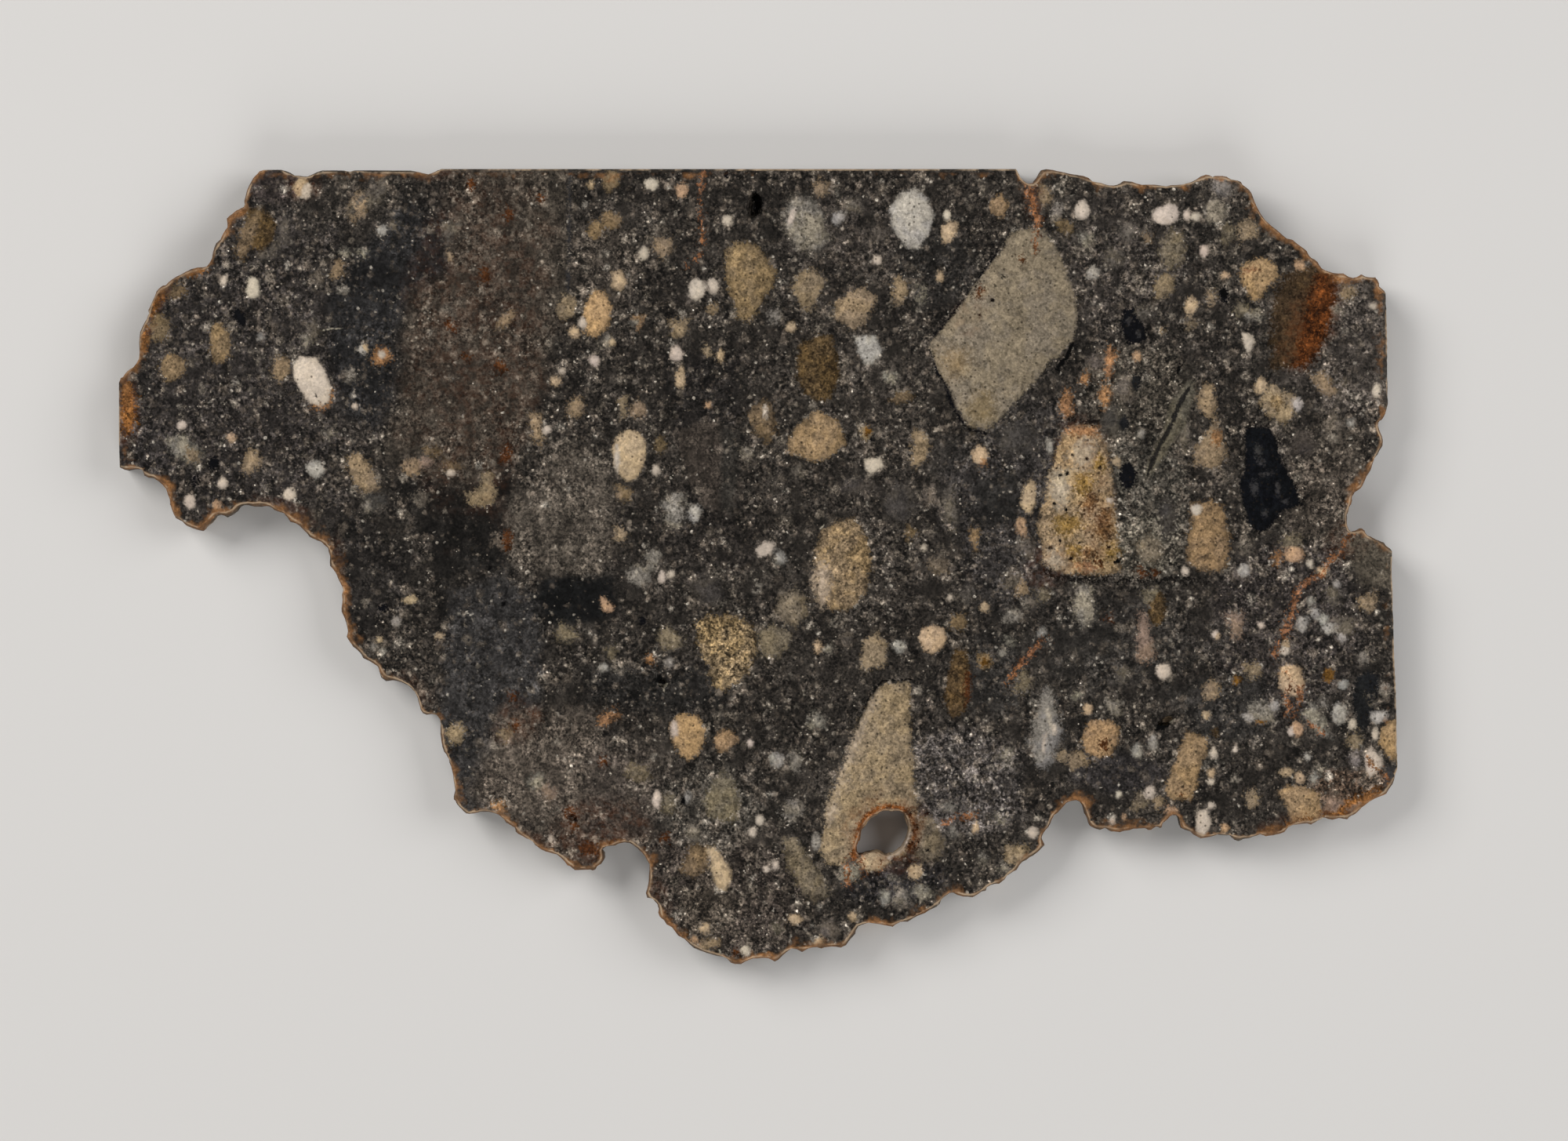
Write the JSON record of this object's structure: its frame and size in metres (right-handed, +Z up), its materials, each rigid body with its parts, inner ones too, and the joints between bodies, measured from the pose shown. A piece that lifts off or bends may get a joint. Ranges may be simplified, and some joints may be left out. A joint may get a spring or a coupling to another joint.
{
  "type": "lunar meteorite slice",
  "caption": "Thin polished slice of dark lunar breccia with a ragged broken rim, straight saw cuts, pale angular clasts and a small natural hole. It lies flat on its back.",
  "frame": {"origin": "middle of the slice's bounding rectangle, on the sawn back face that it lies on", "axes": "+X along the slice's length, towards the end with the long scalloped saw cut; +Y towards the long straight saw cut; +Z up, out of the polished face"},
  "size_m": [0.0654, 0.0406, 0.0022],
  "materials": {
    "breccia": "polished dark grey-brown fragmental breccia with white, tan, olive and black clasts, fine pale specks, rust spots and an orange-tan weathered rim"
  },
  "bodies": {
    "root": {"meteorite_slice": "breccia"}
  },
  "joints": []
}
